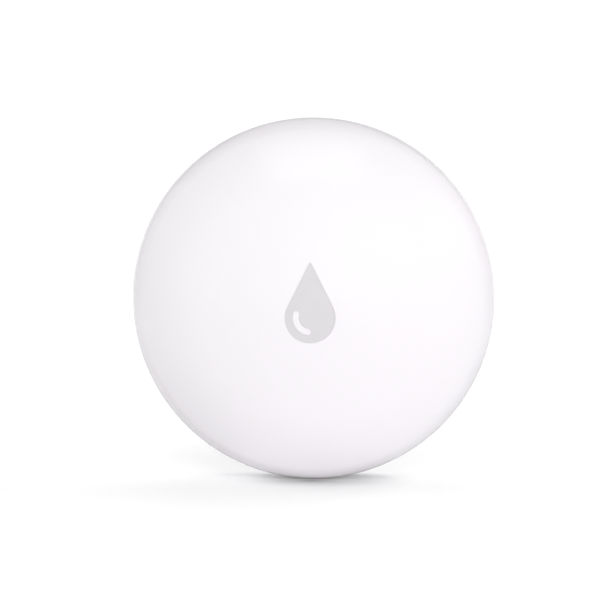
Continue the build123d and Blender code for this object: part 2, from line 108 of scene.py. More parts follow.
class Tree:
    # the nodes and links of one material or world
    def __init__(self, nodeTree):
        self.nodes = nodeTree.nodes
        self.links = nodeTree.links
        self.nodes.clear()

    def add(self, kind, settings, inputs, output=0):
        node = self.nodes.new(kind)
        for key, value in settings.items():
            setattr(node, key, value)
        for key, value in inputs.items():
            self.plug(node.inputs[key], value)
        return None if output is None else Wire(self, node.outputs[output])

    def plug(self, socket, value):
        if isinstance(value, Wire):
            self.links.new(value.socket, socket)
        elif socket.type == "RGBA":
            socket.default_value = (*value, 1)
        else:
            socket.default_value = value

    def rescale(self, value, low, high, newLow, newHigh):
        inputs = {0: value, 1: low, 2: high, 3: newLow, 4: newHigh}
        return self.add("ShaderNodeMapRange", {}, inputs)


class Finish(Tree):
    # one material: a Principled shader fed from places on the object
    def __init__(self, name):
        self.material = bpy.data.materials.new(name)
        self.material.use_nodes = True
        super().__init__(self.material.node_tree)
        self.shader = self.nodes.new("ShaderNodeBsdfPrincipled")
        self.add("ShaderNodeOutputMaterial", {}, {"Surface": Wire(self, self.shader.outputs[0])}, None)
        self.place = self.add("ShaderNodeTexCoord", {}, {}, "Object")

    def set(self, **values):
        for key, value in values.items():
            self.plug(self.shader.inputs[key.replace("_", " ")], value)

    def noise(self, scale, detail=3, place=None):
        inputs = {"Vector": place or self.place, "Scale": scale, "Detail": detail}
        return self.add("ShaderNodeTexNoise", {}, inputs)

    def axis(self, name):
        return self.add("ShaderNodeSeparateXYZ", {}, {0: self.place}, name)

    def blend(self, share, first, second):
        return self.add("ShaderNodeMix", {"data_type": "RGBA"}, {0: share, 6: first, 7: second}, 2)

    def sumRoot(self, first, second):
        return (first * first + second * second) ** 0.5

    def tint(self, pattern, tones):
        # the first colour, going over to the second across the pattern's spread
        share = self.rescale(pattern, *tones["spread"], 0, 1)
        self.set(Base_Color=self.blend(share, tones["colour"], tones["second"]))

    def polish(self, pattern, tones, span=noiseSpan):
        # a roughness that wanders up from the gloss with the pattern
        rougher = tones["gloss"] + tones["wander"]
        self.set(Roughness=self.rescale(pattern, *span, tones["gloss"], rougher))

    def bump(self, height, tones):
        strength, depth = tones["bump"]
        inputs = {"Height": height, "Strength": strength, "Distance": depth * mm}
        self.set(Normal=self.add("ShaderNodeBump", {}, inputs))


def mixed(first, second, share):
    return first * share + second * (1 - share)


# finishes: in each, gloss is the lowest roughness, wander what is added to it in places,
# bump a strength and a depth in millimetres, and the other numbers scales of noise

shellTones = {
    "colour": (0.878, 0.853, 0.884),
    "second": (0.864, 0.838, 0.868),
    "gloss": 0.13,
    "wander": 0.07,
    "ior": 1.5,
    "flow": 14,
    "haze": 60,
    "hazeSpan": (0.3, 0.75),
    "skin": 900,
    "bump": (0.04, 0.02),
}


def glossyShell():
    finish = Finish("glossyShell")
    flow = finish.noise(shellTones["flow"], 2)
    finish.set(Base_Color=finish.blend(flow, shellTones["colour"], shellTones["second"]))
    finish.polish(finish.noise(shellTones["haze"], 4), shellTones, shellTones["hazeSpan"])
    finish.set(IOR=shellTones["ior"])
    finish.bump(finish.noise(shellTones["skin"], 2), shellTones)
    return finish.material


markTones = {
    "colour": (0.672, 0.653, 0.675),
    "second": (0.652, 0.634, 0.656),
    "spread": (0.4, 0.62),
    "gloss": 0.34,
    "wander": 0.1,
    "speck": 5200,
    "speckShare": 0.6,
    "cloud": 420,
    "bump": (0.12, 0.02),
}


def markInk():
    finish = Finish("markInk")
    speck = finish.noise(markTones["speck"], 2)
    finish.tint(mixed(speck, finish.noise(markTones["cloud"]), markTones["speckShare"]), markTones)
    finish.polish(speck, markTones)
    finish.bump(speck, markTones)
    return finish.material


baseTones = {
    "colour": (0.86, 0.845, 0.862),
    "second": (0.82, 0.805, 0.82),
    "spread": (0.42, 0.7),
    "gloss": 0.4,
    "wander": 0.16,
    "grain": 3000,
    "grainShare": 0.5,
    "pits": 2600,
    "scuff": 90,
    "bump": (0.6, 0.06),
}


def satinBase():
    # white plastic from a spark-eroded mould, with a fine even grain
    finish = Finish("satinBase")
    grain = finish.noise(baseTones["grain"])
    cells = {"Vector": finish.place, "Scale": baseTones["pits"]}
    pits = finish.add("ShaderNodeTexVoronoi", {"feature": "F1"}, cells, "Distance")
    finish.tint(finish.noise(baseTones["scuff"], 5), baseTones)
    finish.polish(grain, baseTones)
    finish.bump(mixed(grain, pits, baseTones["grainShare"]), baseTones)
    return finish.material


sealTones = {
    "colour": (0.27, 0.275, 0.285),
    "second": (0.38, 0.38, 0.385),
    "spread": (0.5, 0.72),
    "gloss": 0.5,
    "wander": 0.15,
    "dust": 2600,
    "bump": (0.15, 0.02),
}


def siliconeSeal():
    finish = Finish("siliconeSeal")
    dust = finish.noise(sealTones["dust"], 4)
    finish.tint(dust, sealTones)
    finish.polish(dust, sealTones)
    finish.bump(dust, sealTones)
    return finish.material


rolled = {
    "spread": (0.42, 0.68),
    "wander": 0.16,
    "lines": 2400,
    "stains": 240,
    "stainShare": 0.7,
    "stretch": (1, 1, 1),
    "bump": (0.12, 0.01),
}
metals = {
    "screwZinc": {"colour": (0.66, 0.67, 0.69), "second": (0.5, 0.49, 0.46), "gloss": 0.3},
    "contactBronze": {
        "colour": (0.78, 0.74, 0.66),
        "second": (0.62, 0.53, 0.4),
        "gloss": 0.24,
        "stretch": (0.1, 1, 1),
    },
    "bushBrass": {
        "colour": (0.8, 0.63, 0.32),
        "second": (0.55, 0.38, 0.17),
        "gloss": 0.27,
        "stretch": (1, 0.1, 1),
    },
    "switchSteel": {
        "colour": (0.7, 0.7, 0.7),
        "second": (0.56, 0.56, 0.57),
        "gloss": 0.28,
        "stretch": (0.15, 1, 1),
    },
    "shieldTin": {
        "colour": (0.76, 0.755, 0.74),
        "second": (0.62, 0.61, 0.58),
        "gloss": 0.34,
        "stretch": (0.2, 1, 1),
    },
    "crystalCan": {
        "colour": (0.78, 0.77, 0.72),
        "second": (0.64, 0.61, 0.52),
        "gloss": 0.25,
        "stretch": (0.3, 1, 1),
    },
    "antennaStrip": {
        "colour": (0.83, 0.71, 0.45),
        "second": (0.62, 0.48, 0.27),
        "gloss": 0.26,
        "stretch": (0.2, 1, 1),
    },
}


def sheetMetal(name):
    # fine drawn lines along the axis that is stretched, and faint stains
    tones = {**rolled, **metals[name]}
    finish = Finish(name)
    drawn = finish.add("ShaderNodeMapping", {}, {"Vector": finish.place, "Scale": tones["stretch"]})
    lines = finish.noise(tones["lines"], 4, drawn)
    finish.tint(mixed(finish.noise(tones["stains"], 4), lines, tones["stainShare"]), tones)
    finish.polish(lines, tones)
    finish.set(Metallic=1.0)
    finish.bump(lines, tones)
    return finish.material


# circle is how far the middles of the rings stand from the sensor's own
ringed = {
    "spunCell": {
        "colour": (0.73, 0.72, 0.69),
        "second": (0.6, 0.585, 0.55),
        "spread": (0.46, 0.72),
        "gloss": 0.2,
        "wander": 0.14,
        "circle": 0,
        "rings": 5200,
        "ringDetail": 3,
        "wobble": 40,
        "wobbleShare": 0.4,
        "stains": 300,
        "bump": (0.1, 0.01),
    },
    "turnedProbe": {
        "colour": (0.77, 0.765, 0.75),
        "second": (0.63, 0.615, 0.58),
        "spread": (0.5, 0.74),
        "gloss": 0.16,
        "wander": 0.16,
        "circle": 17.65,
        "rings": 9000,
        "ringDetail": 2,
        "wobble": 120,
        "wobbleShare": 1,
        "stains": 700,
        "bump": (0.16, 0.01),
    },
}


def ringedMetal(name):
    # the fine rings that a press or a lathe leaves
    tones = ringed[name]
    finish = Finish(name)
    across = abs(finish.axis("X")) - tones["circle"] * mm
    up = finish.axis("Z") - restingFlat["radius"] * mm
    outward = finish.sumRoot(across, up) * tones["rings"]
    wobble = finish.noise(tones["wobble"], 2) * tones["wobbleShare"]
    place = finish.add("ShaderNodeCombineXYZ", {}, {0: outward, 1: wobble})
    rings = finish.noise(1, tones["ringDetail"], place)
    finish.tint(finish.noise(tones["stains"], 4), tones)
    finish.polish(rings, tones)
    finish.set(Metallic=1.0)
    finish.bump(rings, tones)
    return finish.material


plastic = {"spread": (0.4, 0.66), "wander": 0.14, "grainShare": 0.4, "cloudSize": 9, "bump": (0.2, 0.01)}
mouldings = {
    "cellFill": {"colour": (0.1, 0.1, 0.105), "second": (0.05, 0.05, 0.055), "gloss": 0.8, "grain": 5200},
    "cellSeal": {"colour": (0.55, 0.56, 0.5), "second": (0.42, 0.43, 0.38), "gloss": 0.4, "grain": 1800},
    "switchBlack": {
        "colour": (0.035, 0.035, 0.038),
        "second": (0.055, 0.055, 0.056),
        "gloss": 0.46,
        "grain": 4200,
    },
    "plungerBlack": {
        "colour": (0.025, 0.025, 0.027),
        "second": (0.05, 0.05, 0.052),
        "gloss": 0.38,
        "grain": 3600,
    },
    "chipEpoxy": {
        "colour": (0.045, 0.046, 0.05),
        "second": (0.075, 0.075, 0.078),
        "gloss": 0.55,
        "grain": 6400,
    },
    "capacitorTan": {
        "colour": (0.47, 0.34, 0.22),
        "second": (0.38, 0.26, 0.16),
        "gloss": 0.42,
        "grain": 5200,
    },
    "resistorDark": {
        "colour": (0.04, 0.04, 0.045),
        "second": (0.09, 0.09, 0.1),
        "gloss": 0.35,
        "grain": 5200,
    },
    "ledLens": {"colour": (0.86, 0.85, 0.72), "second": (0.82, 0.76, 0.45), "gloss": 0.22, "grain": 1500},
}


def moulded(name):
    tones = {**plastic, **mouldings[name]}
    finish = Finish(name)
    grain = finish.noise(tones["grain"])
    cloud = finish.noise(tones["grain"] / tones["cloudSize"])
    finish.tint(mixed(grain, cloud, tones["grainShare"]), tones)
    finish.polish(grain, tones)
    finish.bump(grain, tones)
    return finish.material


boardTones = {
    "mask": (0.012, 0.105, 0.045),
    "copper": (0.022, 0.17, 0.074),
    "gloss": 0.26,
    "wander": 0.12,
    "grain": 1400,
    "pitch": 0.9,
    "runShare": 0.22,
    "cells": 330,
    "cellSpread": 0.85,
    "gap": 0.09,
    "pours": 0.46,
    "bump": (0.3, 0.03),
}


def solderMask():
    # green lacquer, lighter over copper, which lies in square-cut pours and in slanting runs
    finish = Finish("solderMask")
    grid = {"Vector": finish.place, "Scale": boardTones["cells"], "Randomness": boardTones["cellSpread"]}
    nearest = {"distance": "CHEBYCHEV", "feature": "F1"}
    first = finish.add("ShaderNodeTexVoronoi", nearest, grid, "Distance")
    colour = finish.add("ShaderNodeTexVoronoi", nearest, grid, "Color")
    chance = finish.add("ShaderNodeSeparateColor", {}, {"Color": colour}, "Red")
    second = finish.add("ShaderNodeTexVoronoi", {"distance": "CHEBYCHEV", "feature": "F2"}, grid, "Distance")
    pitch = boardTones["pitch"] * mm
    across = abs((finish.axis("X") + finish.axis("Z")) % pitch - pitch / 2)
    runs = across < pitch * boardTones["runShare"]
    laid = runs.sum("MAXIMUM", runs, chance > boardTones["pours"])
    copper = (second - first > boardTones["gap"]) * laid
    finish.set(Base_Color=finish.blend(copper, boardTones["mask"], boardTones["copper"]))
    finish.polish(finish.noise(boardTones["grain"]), boardTones)
    finish.bump(copper, boardTones)
    return finish.material


bySlot = {
    "shell_white": glossyShell,
    "mark_grey": markInk,
    "base_white": satinBase,
    "seal_grey": siliconeSeal,
    "cell_steel": lambda: ringedMetal("spunCell"),
    "cell_fill": lambda: moulded("cellFill"),
    "cell_seal": lambda: moulded("cellSeal"),
    "board_green": solderMask,
    "screw_steel": lambda: sheetMetal("screwZinc"),
    "contact_steel": lambda: sheetMetal("contactBronze"),
    "probe_steel": lambda: ringedMetal("turnedProbe"),
    "bush_brass": lambda: sheetMetal("bushBrass"),
    "switch_black": lambda: moulded("switchBlack"),
    "switch_steel": lambda: sheetMetal("switchSteel"),
    "plunger_black": lambda: moulded("plungerBlack"),
    "led_lens": lambda: moulded("ledLens"),
    "shield_tin": lambda: sheetMetal("shieldTin"),
    "chip_black": lambda: moulded("chipEpoxy"),
    "crystal_can": lambda: sheetMetal("crystalCan"),
    "antenna_strip": lambda: sheetMetal("antennaStrip"),
    "capacitor_tan": lambda: moulded("capacitorTan"),
    "resistor_dark": lambda: moulded("resistorDark"),
}
finishes = {slot: make() for slot, make in bySlot.items()}
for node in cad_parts.values():
    for spot in node.material_slots:
        spot.material = finishes[spot.material.name.split(".")[0]]
print("finishes made", len(finishes))


# mesh helpers

sharpAngle = math.radians(32)
sameSpot = 1e-7  # metres within which a CAD mesh's loose corners are one


def finishPiece(name, bm, slot, body, *nodes, stand=standUp):
    # stands a bench mesh up on its rim and hands it to the frame
    bmesh.ops.transform(bm, matrix=stand, verts=bm.verts)
    mesh = bpy.data.meshes.new(name)
    for face in bm.faces:
        face.smooth = True
    bm.to_mesh(mesh)
    bm.free()
    mesh.set_sharp_from_angle(angle=sharpAngle)
    piece = bpy.data.objects.new(name, mesh)
    bpy.context.scene.collection.objects.link(piece)
    mesh.materials.append(finishes[slot])
    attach(piece, body)
    if nodes:
        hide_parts(*nodes)
    print(name, len(mesh.polygons), "faces")


def islands(node):
    # the box of each separate solid in a node, as its middle and size in metres
    bm = bmesh.new()
    bm.from_mesh(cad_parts[node].data)
    bmesh.ops.remove_doubles(bm, verts=bm.verts, dist=sameSpot)
    waiting = set(bm.verts)
    boxes = []
    while waiting:
        reached = [waiting.pop()]
        found = []
        while reached:
            vert = reached.pop()
            found.append(vert.co.copy())
            for edge in vert.link_edges:
                other = edge.other_vert(vert)
                if other in waiting:
                    waiting.remove(other)
                    reached.append(other)
        low = Vector([min(spot[i] for spot in found) for i in range(3)])
        high = Vector([max(spot[i] for spot in found) for i in range(3)])
        boxes.append(((low + high) / 2, high - low))
    bm.free()
    return sorted(boxes, key=lambda item: tuple(item[0]))


def joinInto(bm, part, matrix):
    # puts a finished part into a larger mesh, moved by matrix
    bmesh.ops.transform(part, matrix=matrix, verts=part.verts)
    mesh = bpy.data.meshes.new("part")
    part.to_mesh(mesh)
    part.free()
    bm.from_mesh(mesh)
    bpy.data.meshes.remove(mesh)


def addBlock(bm, middle, size, rounding):
    # a small block with rounded edges
    matrix = Matrix.Translation(middle) @ Matrix.Diagonal((*size, 1))
    made = bmesh.ops.create_cube(bm, size=1, matrix=matrix)
    edges = list(dict.fromkeys(edge for vert in made["verts"] for edge in vert.link_edges))
    bmesh.ops.bevel(bm, geom=edges, offset=rounding, segments=2, affect="EDGES", profile=0.5, material=-1)


def arcPoint(middle, radius, angle):
    return middle[0] + radius * math.cos(angle), middle[1] + radius * math.sin(angle)


def arcPoints(middle, radius, fromAngle, toAngle, steps):
    # points on a flat arc, both ends included, angles from the first axis
    turn = (toAngle - fromAngle) / steps
    return [arcPoint(middle, radius, fromAngle + turn * step) for step in range(steps + 1)]


def addSpin(bm, outline, steps, fromAngle=0.0, sweep=fullTurn, closed=True):
    # turns an outline of (radius, height) points round the bench's vertical axis
    turned = Matrix.Rotation(fromAngle, 4, "Z")
    ends = [bm.verts.new(turned @ Vector((radius, 0, height))) for radius, height in outline]
    edges = [bm.edges.new(pair) for pair in zip(ends, ends[1:])]
    if closed:
        edges.append(bm.edges.new((ends[-1], ends[0])))
    parts = ends + edges
    whole = sweep == fullTurn
    if closed and not whole:
        parts.append(bm.faces.new(ends))
    upwards = (0, 0, 1)
    bmesh.ops.spin(bm, geom=parts, axis=upwards, angle=sweep, steps=steps, use_merge=whole)


# the dome's profile: cap, slope and rim arcs that meet without a kink

dome = {
    "radius": 25.0,
    "top": 14.5,
    "start": 7.2,
    "rimRadius": 3.6,
    "slopeRadius": 24.0,
    "capFlat": 1.28,
    "wall": 1.4,
    "lipHeight": 4.05,
    "lipRound": 0.25,
    "steps": 192,
    "rimSteps": 14,
    "slopeSteps": 12,
    "capSteps": 10,
    "lipSteps": 6,
    "toothReach": 0.5,
    "toothRise": 1.8,
    "toothHeight": 0.5,
    "toothSweep": 16.0,
    "toothLead": 0.2,
    "toothRoot": 0.3,
    "toothSteps": 8,
    "teeth": 4,
    "bossRadius": 1.6,
    "bossFoot": 11.45,
    "weld": 0.0005,
}
rimMiddle = Vector((dome["radius"] - dome["rimRadius"], dome["start"]))
capRise = dome["top"] - dome["start"]
tightest = (rimMiddle.x**2 + capRise**2 - dome["rimRadius"] ** 2) / (2 * (capRise - dome["rimRadius"]))
capRadius = tightest * dome["capFlat"]
capMiddle = Vector((0, dome["top"] - capRadius))
span = rimMiddle - capMiddle
near, far = capRadius - dome["slopeRadius"], dome["slopeRadius"] - dome["rimRadius"]
along = ((near**2 - far**2) / span.length + span.length) / 2
aside = math.sqrt(near**2 - along**2)
slopeMiddle = capMiddle + span.normalized() * along + Vector((-span.y, span.x)).normalized() * aside
capLean = math.atan2(slopeMiddle.x - capMiddle.x, slopeMiddle.y - capMiddle.y)
rimLean = math.atan2(rimMiddle.x - slopeMiddle.x, rimMiddle.y - slopeMiddle.y)
upright = math.pi / 2


def domeSkin(inset, fromRadius):
    # the outline from the rim's foot up over the dome to the circle of fromRadius
    rimEnd, slopeEnd = upright - rimLean, upright - capLean
    capEnd = upright - math.asin(fromRadius / (capRadius - inset))
    rim = arcPoints(rimMiddle, dome["rimRadius"] - inset, 0, rimEnd, dome["rimSteps"])
    slope = arcPoints(slopeMiddle, dome["slopeRadius"] - inset, rimEnd, slopeEnd, dome["slopeSteps"])
    cap = arcPoints(capMiddle, capRadius - inset, slopeEnd, capEnd, dome["capSteps"])
    return rim + slope[1:] + cap[1:]


def capHeight(radius, inset=0.0):
    return capMiddle.y + math.sqrt((capRadius - inset) ** 2 - radius**2)


# the grey drop in the face and the bare gleam inside it

drop = {
    "width": 6.9,
    "height": 11.1,
    "depth": 0.12,
    "fit": 0.03,
    "glintRadius": 1.95,
    "glintWidth": 0.85,
    "glintStart": 165.0,
    "glintSweep": 95.0,
    "glintSideSteps": 16,
    "glintEndSteps": 8,
    "collar": 8.5,
    "collarRings": 9,
    "inlayCuts": 2,
    "inlayTop": 0.003,
    "inlayFoot": 0.005,
}
dropFoot = (drop["width"] - drop["height"]) / 2  # height of the round foot's middle


def dropLoop(inset):
    # round foot and straight sides up to the tip, drawn in by inset, counter-clockwise from the right
    belly = drop["width"] / 2
    lean = math.acos(belly / (drop["height"] / 2 - dropFoot))
    radius = belly - inset
    spots = []
    for step in range(dome["steps"]):
        angle = fullTurn * step / dome["steps"]
        reach = radius
        fromTip = abs((angle - upright + math.pi) % fullTurn - math.pi)
        if fromTip < lean:
            reach = radius / math.cos(lean - fromTip)
        spots.append(arcPoint((0, dropFoot), reach, angle))
    return spots


def glintLoop(outset):
    # a curved stroke with round ends, its outer side first
    foot, radius = (0, dropFoot), drop["glintRadius"]
    half = drop["glintWidth"] / 2 + outset
    start = math.radians(drop["glintStart"])
    end = start + math.radians(drop["glintSweep"])
    side, cap = drop["glintSideSteps"], drop["glintEndSteps"]
    outer = arcPoints(foot, radius + half, start, end, side)
    farEnd = arcPoints(arcPoint(foot, radius, end), half, end, end + math.pi, cap)
    inner = arcPoints(foot, radius - half, end, start, side)
    nearEnd = arcPoints(arcPoint(foot, radius, start), half, start + math.pi, start + fullTurn, cap)
    return outer[:-1] + farEnd[:-1] + inner[:-1] + nearEnd[:-1]


def addLoop(bm, spots):
    verts = [bm.verts.new((x, y, 0)) for x, y in spots]
    return [bm.edges.new(pair) for pair in zip(verts, verts[1:] + verts[:1])]


def ontoCap(verts, inset=0.0):
    for vert in verts:
        vert.co.z = capHeight(math.hypot(vert.co.x, vert.co.y), inset)


def vertsOf(items):
    return [item for item in items if isinstance(item, bmesh.types.BMVert)]


def edgesAmong(bm, verts):
    chosen = set(verts)
    return [edge for edge in bm.edges if chosen.issuperset(edge.verts)]


def addWall(bm, edges, depth):
    # a wall from an edge loop on the cap straight into the shell; gives the loop at its foot
    lower = vertsOf(bmesh.ops.extrude_edge_only(bm, edges=edges)["geom"])
    ontoCap(lower, depth)
    return edgesAmong(bm, lower)


def addTeeth(bm):
    # the snap teeth inside the lip, with a sloped lead on the side that meets the base first
    wall = dome["radius"] - dome["wall"]
    foot = dome["lipHeight"] + dome["toothRise"]
    top = foot + dome["toothHeight"]
    lead, root = dome["toothLead"], wall + dome["toothRoot"]
    tip = wall - dome["toothReach"]
    outline = [(root, foot), (tip + lead, foot), (tip, foot + lead), (tip, top), (root, top)]
    sweep = math.radians(dome["toothSweep"])
    for tooth in range(dome["teeth"]):
        start = fullTurn * tooth / dome["teeth"] - sweep / 2
        addSpin(bm, outline, dome["toothSteps"], start, sweep)


def makeTopShell():
    bm = bmesh.new()
    # the face round the drop: rings between the drop's outline and a collar circle
    outline = addLoop(bm, dropLoop(0))
    collar = bmesh.ops.create_circle(bm, cap_ends=False, segments=dome["steps"], radius=drop["collar"])
    rim = edgesAmong(bm, collar["verts"])
    spokes = bmesh.ops.bridge_loops(bm, edges=outline + rim)["edges"]
    bmesh.ops.subdivide_edges(bm, edges=spokes, cuts=drop["collarRings"], use_grid_fill=True)
    ontoCap(bm.verts)
    # the pocket that holds the drop, with the gleam left standing
    pocket = addWall(bm, outline, drop["depth"])
    gleam = addLoop(bm, glintLoop(0))
    ontoCap(vert for edge in gleam for vert in edge.verts)
    gleamFoot = addWall(bm, gleam, drop["depth"])
    bmesh.ops.triangle_fill(bm, use_beauty=True, edges=pocket + gleamFoot)
    bmesh.ops.triangle_fill(bm, use_beauty=True, edges=gleam)
    # the rest of the shell, turned: outside over the rim, round the lip and back up inside
    outside = domeSkin(0, drop["collar"])[::-1]
    lipMiddle = (dome["radius"] - dome["lipRound"], dome["lipHeight"] + dome["lipRound"])
    lip = arcPoints(lipMiddle, dome["lipRound"], 0, -upright, dome["lipSteps"])
    inside = [(dome["radius"] - dome["wall"], dome["lipHeight"])] + domeSkin(dome["wall"], dome["bossRadius"])
    bossSide, bossFoot = dome["bossRadius"], dome["bossFoot"]
    boss = [(bossSide, inside[-1][1]), (bossSide, bossFoot), (0, bossFoot)]
    addSpin(bm, outside + lip + inside + boss, dome["steps"], closed=False)
    bmesh.ops.remove_doubles(bm, verts=bm.verts, dist=dome["weld"])
    addTeeth(bm)
    bmesh.ops.recalc_face_normals(bm, faces=bm.faces)
    finishPiece("topShellLook", bm, "shell_white", "face", "top_shell")


def makeDropMark():
    bm = bmesh.new()
    outline = addLoop(bm, dropLoop(drop["fit"]))
    gleam = addLoop(bm, glintLoop(drop["fit"]))
    bmesh.ops.triangle_fill(bm, use_beauty=True, edges=outline + gleam)
    bmesh.ops.subdivide_edges(bm, edges=bm.edges, cuts=drop["inlayCuts"], use_grid_fill=True)
    ontoCap(bm.verts, drop["inlayTop"])
    lower = vertsOf(bmesh.ops.extrude_face_region(bm, geom=bm.faces)["geom"])
    ontoCap(lower, drop["depth"] - drop["inlayFoot"])
    bmesh.ops.recalc_face_normals(bm, faces=bm.faces)
    finishPiece("dropMarkLook", bm, "mark_grey", "face", "drop_mark")


makeTopShell()
makeDropMark()


# signs raised on the underside: which way the cover turns, and where it locks

signs = {
    "lift": 0.18,
    "root": 0.05,
    "arrowRadius": 10.6,
    "arrowWidth": 0.7,
    "arrowFrom": 112.0,
    "arrowSweep": 44.0,
    "arrowSteps": 24,
    "headWidth": 2.1,
    "headShare": 0.45,
    "lockRadius": 18.2,
    "lockBody": (2.6, 1.9),
    "lockRound": 0.06,
    "shackle": 0.78,
    "shackleSteps": 14,
    "stroke": 0.42,
    "strokeRound": 0.02,
    "leg": 0.6,
    "shortLeg": 0.24,
    "openLift": 0.5,
    "closedAt": -90.0,
    "openAt": -145.0,
}
signThick = signs["lift"] + signs["root"]
signMiddle = (signs["root"] - signs["lift"]) / 2


def strip(radius, width):
    # the cross section of a raised stroke of that width, turned at that radius
    inner, outer = radius - width / 2, radius + width / 2
    low, high = -signs["lift"], signs["root"]
    return [(inner, high), (outer, high), (outer, low), (inner, low)]


def makeTurnArrow():
    bm = bmesh.new()
    radius, wide = signs["arrowRadius"], signs["headWidth"] / 2
    start, sweep = math.radians(signs["arrowFrom"]), math.radians(signs["arrowSweep"])
    addSpin(bm, strip(radius, signs["arrowWidth"]), signs["arrowSteps"], start, -sweep)
    # the head is a flat three-sided cone, turned to point the way the cover opens
    head = bmesh.new()
    size = {"radius1": wide, "radius2": wide, "depth": signThick}
    pointing = Matrix.Rotation(math.pi, 4, "Z")
    bmesh.ops.create_cone(head, cap_ends=True, segments=3, matrix=pointing, **size)
    tip = Matrix.Translation((radius, -wide * signs["headShare"], signMiddle))
    joinInto(bm, head, Matrix.Rotation(start - sweep, 4, "Z") @ tip)
    bmesh.ops.recalc_face_normals(bm, faces=bm.faces)
    finishPiece("turnArrow", bm, "mark_grey", "cover")


def addPadlock(bm, angle, lift):
    # a lock's body with its shackle, which has one leg out of the body where it is lifted
    lock = bmesh.new()
    wide, tall = signs["lockBody"]
    shackle, stroke, leg = signs["shackle"], signs["stroke"], signs["leg"]
    addSpin(lock, strip(shackle, stroke), signs["shackleSteps"], 0, math.pi)
    bowFoot = tall / 2 + leg + lift
    bmesh.ops.translate(lock, verts=lock.verts, vec=(0, bowFoot, 0))
    for side, length in ((-1, leg + lift), (1, signs["shortLeg"] if lift else leg)):
        middle = (side * shackle, bowFoot - length / 2, signMiddle)
        addBlock(lock, middle, (stroke, length, signThick), signs["strokeRound"])
    addBlock(lock, (0, 0, signMiddle), (wide, tall, signThick), signs["lockRound"])
    outward = Matrix.Translation((0, -signs["lockRadius"], 0))
    joinInto(bm, lock, Matrix.Rotation(math.radians(angle) + upright, 4, "Z") @ outward)


def makeLockSigns():
    bm = bmesh.new()
    addPadlock(bm, signs["closedAt"], 0)
    addPadlock(bm, signs["openAt"], signs["openLift"])
    bmesh.ops.recalc_face_normals(bm, faces=bm.faces)
    finishPiece("lockSigns", bm, "mark_grey", "casing")


makeTurnArrow()
makeLockSigns()


# the plus sign stamped on the coin cell's outer face, and a ring round the face

cellStamp = {
    "raise": 0.04,
    "root": 0.05,
    "arm": 3.2,
    "stroke": 0.55,
    "rounding": 0.02,
    "ring": 8.6,
    "ringWidth": 0.16,
    "ringSteps": 96,
    "place": (0, 5.2),
}


def makeCellStamp():
    bm = bmesh.new()
    face = (restingFlat["underside"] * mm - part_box("cell_can")[1].y) / mm
    low, high = face - cellStamp["raise"], face + cellStamp["root"]
    middle, thick = (low + high) / 2, high - low
    arm, stroke = cellStamp["arm"], cellStamp["stroke"]
    for wide, tall in ((arm, stroke), (stroke, arm)):
        addBlock(bm, (*cellStamp["place"], middle), (wide, tall, thick), cellStamp["rounding"])
    inner, outer = cellStamp["ring"] - cellStamp["ringWidth"], cellStamp["ring"]
    addSpin(bm, [(inner, low), (outer, low), (outer, high), (inner, high)], cellStamp["ringSteps"])
    bmesh.ops.recalc_face_normals(bm, faces=bm.faces)
    finishPiece("cellStamp", bm, "cell_steel", "cell")


makeCellStamp()


# the board's small parts: metal ends, the pads they are soldered to and the print round them

small = {
    "endShare": 0.24,
    "endProud": 0.02,
    "endRound": 0.03,
    "padReach": 0.22,
    "padLift": 0.03,
    "padRound": 0.025,
    "printGap": 0.32,
    "printWidth": 0.12,
    "printLift": 0.015,
    "printRound": 0.005,
    "dot": 0.28,
    "dotSteps": 20,
}
unmoved = Matrix.Identity(4)
withEnds = ("capacitors", "resistors", "status_led")
outlined = ("memory_chip", "regulator", "crystal", "switch_body", "shield_can")


def longAxis(size):
    return 0 if size.x > size.z else 2


def makeSmallEnds():
    # a cap of tinned metal on both ends of each small part
    bm = bmesh.new()
    proud = small["endProud"] * mm
    for node in withEnds:
        for middle, size in islands(node):
            axis = longAxis(size)
            cap = size + Vector((2 * proud, 2 * proud, 2 * proud))
            cap[axis] = size[axis] * small["endShare"] + proud
            for side in (-1, 1):
                at = middle.copy()
                at[axis] += side * (size[axis] / 2 + proud - cap[axis] / 2)
                addBlock(bm, at, cap, small["endRound"] * mm)
    bmesh.ops.recalc_face_normals(bm, faces=bm.faces)
    finishPiece("smallEnds", bm, "shield_tin", "casing", stand=unmoved)


def makeSolderPads():
    # the pads under those ends, with a low slope of solder
    bm = bmesh.new()
    reach, top = small["padReach"] * mm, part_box("circuit_board")[0].y
    for node in withEnds:
        for middle, size in islands(node):
            axis = longAxis(size)
            pad = size + Vector((reach, 0, reach))
            pad[axis] = size[axis] * small["endShare"] + reach
            pad.y = 2 * small["padLift"] * mm
            for side in (-1, 1):
                at = Vector((middle.x, top, middle.z))
                at[axis] += side * (size[axis] / 2 + reach - pad[axis] / 2)
                addBlock(bm, at, pad, small["padRound"] * mm)
    bmesh.ops.recalc_face_normals(bm, faces=bm.faces)
    finishPiece("solderPads", bm, "shield_tin", "casing", stand=unmoved)


